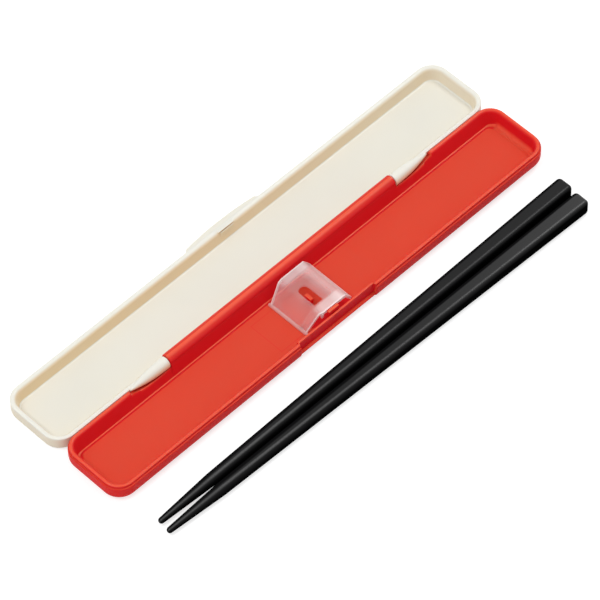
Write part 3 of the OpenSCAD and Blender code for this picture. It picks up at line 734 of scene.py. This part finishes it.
rings, facing = chopstick_rings()
for number, tip, turn, butt_gloss in zip((1, 2), tips, turns, butt_glosses):
    cosine, sine = np.cos(np.radians(turn)), np.sin(np.radians(turn))
    swung = np.stack([tip[0] + rings[..., 0] * cosine - rings[..., 1] * sine,
                      tip[1] + rings[..., 0] * sine + rings[..., 1] * cosine, rings[..., 2]], 2)
    points, faces = loft(swung)
    piece = make_piece(f"stick_{number}", points, faces, f"chopstick_{number}", f"chopstick_{number}_body",
                       stick_black)
    # Painted shade darkens each stick's sides and underside; its top keeps the plain black
    paint(piece, "upright", 1 - np.clip(np.sin(np.radians(facing)), 0, 1))
    gloss = np.interp(rings[..., 0], [70, stick_length], [0.8, butt_gloss])
    gloss = gloss * np.interp(facing, [78, 90, 115, 140, 165], [0, 0.4, 0.4, 0.1, 0])
    stripe = np.interp(rings[..., 0], [40, 130], [1.0, 0.2]) * np.exp(-((facing - 106) / 10) ** 2)
    paint(piece, "polish", stripe + gloss)


# Table: a plain pale sheet that the open case and the chopsticks lie on. It takes their soft shadow.
table_half, table_drop = 3.0, 0.05 * mm
grey_to_light, grey_to_eye, table_lift = 0.85, 0.5, 0.68


def seen_ray(tree):
    """1 for the rays that see a thing straight, in a reflection or through a clear piece, 0 for light."""
    ray = place(tree, "ShaderNodeLightPath").outputs
    seen = place(tree, "ShaderNodeMath", {"operation": "MAXIMUM"}, _0=ray["Is Camera Ray"],
                 _1=ray["Is Glossy Ray"])
    return place(tree, "ShaderNodeMath", {"operation": "MAXIMUM"}, _0=seen.outputs[0],
                 _1=ray["Is Transmission Ray"]).outputs[0]


mesh = bpy.data.meshes.new("table")
corners = np.array([(-1, -1), (1, -1), (1, 1), (-1, 1)]) * table_half @ np.eye(2, 3) - [0, 0, table_drop]
mesh.from_pydata(corners, [], [(0, 1, 2, 3)])
table_white = bpy.data.materials.new("table_white")
table_white.use_nodes = True
tree = table_white.node_tree
shader = tree.nodes["Principled BSDF"]
shader.inputs["Roughness"].default_value = 0.9
shader.inputs["Emission Color"].default_value = (1, 1, 1, 1)
seen = seen_ray(tree)
grey = place(tree, "ShaderNodeMapRange", Value=seen, To_Min=grey_to_light, To_Max=grey_to_eye)
lift = place(tree, "ShaderNodeMath", {"operation": "MULTIPLY"}, _0=seen, _1=table_lift)
tree.links.new(grey.outputs["Result"], shader.inputs["Base Color"])
tree.links.new(lift.outputs[0], shader.inputs["Emission Strength"])
mesh.materials.append(table_white)
table = bpy.data.objects.new("table", mesh)
bpy.context.scene.collection.objects.link(table)


# Light: a white room with two soft lamps high on the left and on the right. The walls that face the camera
# stay in half shade, deepened by painted shade, and the lamps draw thin bright lines along the rounded edges,
# beside painted highlights there.
room_to_light, room_to_eye, lamp_distance = 0.55, 1.0, 1.35

world = bpy.data.worlds.new("white_room")
bpy.context.scene.world = world
world.use_nodes = True
tree = world.node_tree
strength = place(tree, "ShaderNodeMapRange", Value=seen_ray(tree), To_Min=room_to_light, To_Max=room_to_eye)
tree.links.new(strength.outputs["Result"], tree.nodes["Background"].inputs["Strength"])
tree.nodes["Background"].inputs["Color"].default_value = (1, 1, 1, 1)


def set_up(name, data, right, up, back, position):
    """Puts a lamp or a camera at a position, with its own three directions given in the shared frame."""
    stand = bpy.data.objects.new(name, data)
    bpy.context.scene.collection.objects.link(stand)
    turned_to = np.stack([right, up, back, position], 1)
    stand.matrix_world = Matrix(np.vstack([turned_to, [0, 0, 0, 1]]).tolist())
    return stand


for name, toward, size, power in (("lamp_left", (-0.48, 0.12, 0.87), 0.55, 5.4),
                                  ("lamp_right", (0.5, -0.05, 0.86), 0.45, 4.6)):
    lamp = bpy.data.lights.new(name, "AREA")
    lamp.shape, lamp.size, lamp.energy = "DISK", size, power
    away = np.array(toward) / np.linalg.norm(toward)
    aside = np.cross([0, 0, 1], away)
    aside /= np.linalg.norm(aside)
    set_up(name, lamp, aside, np.cross(away, aside), away, away * lamp_distance)


# Camera: a long lens above the case's front left, at the photograph's viewing angle.
azimuth, elevation, roll = np.radians([-43.2, 53.4, -1.87])
distance, shift_right, shift_up = 1440.0, -3.19, 1.6
lens, sensor = 275.2, 36.0

level = np.array([np.cos(azimuth), np.sin(azimuth), 0.0])
back = np.array([np.sin(azimuth) * np.cos(elevation), -np.cos(azimuth) * np.cos(elevation),
                 np.sin(elevation)])
right = level * np.cos(roll) + np.cross(back, level) * np.sin(roll)
up = np.cross(back, right)
camera = bpy.data.cameras.new("camera")
camera.lens, camera.sensor_width = lens, sensor
position = (right * shift_right + up * shift_up + back * distance) * mm
bpy.context.scene.camera = set_up("camera", camera, right, up, back, position)
bpy.context.scene.view_settings.view_transform = "Standard"
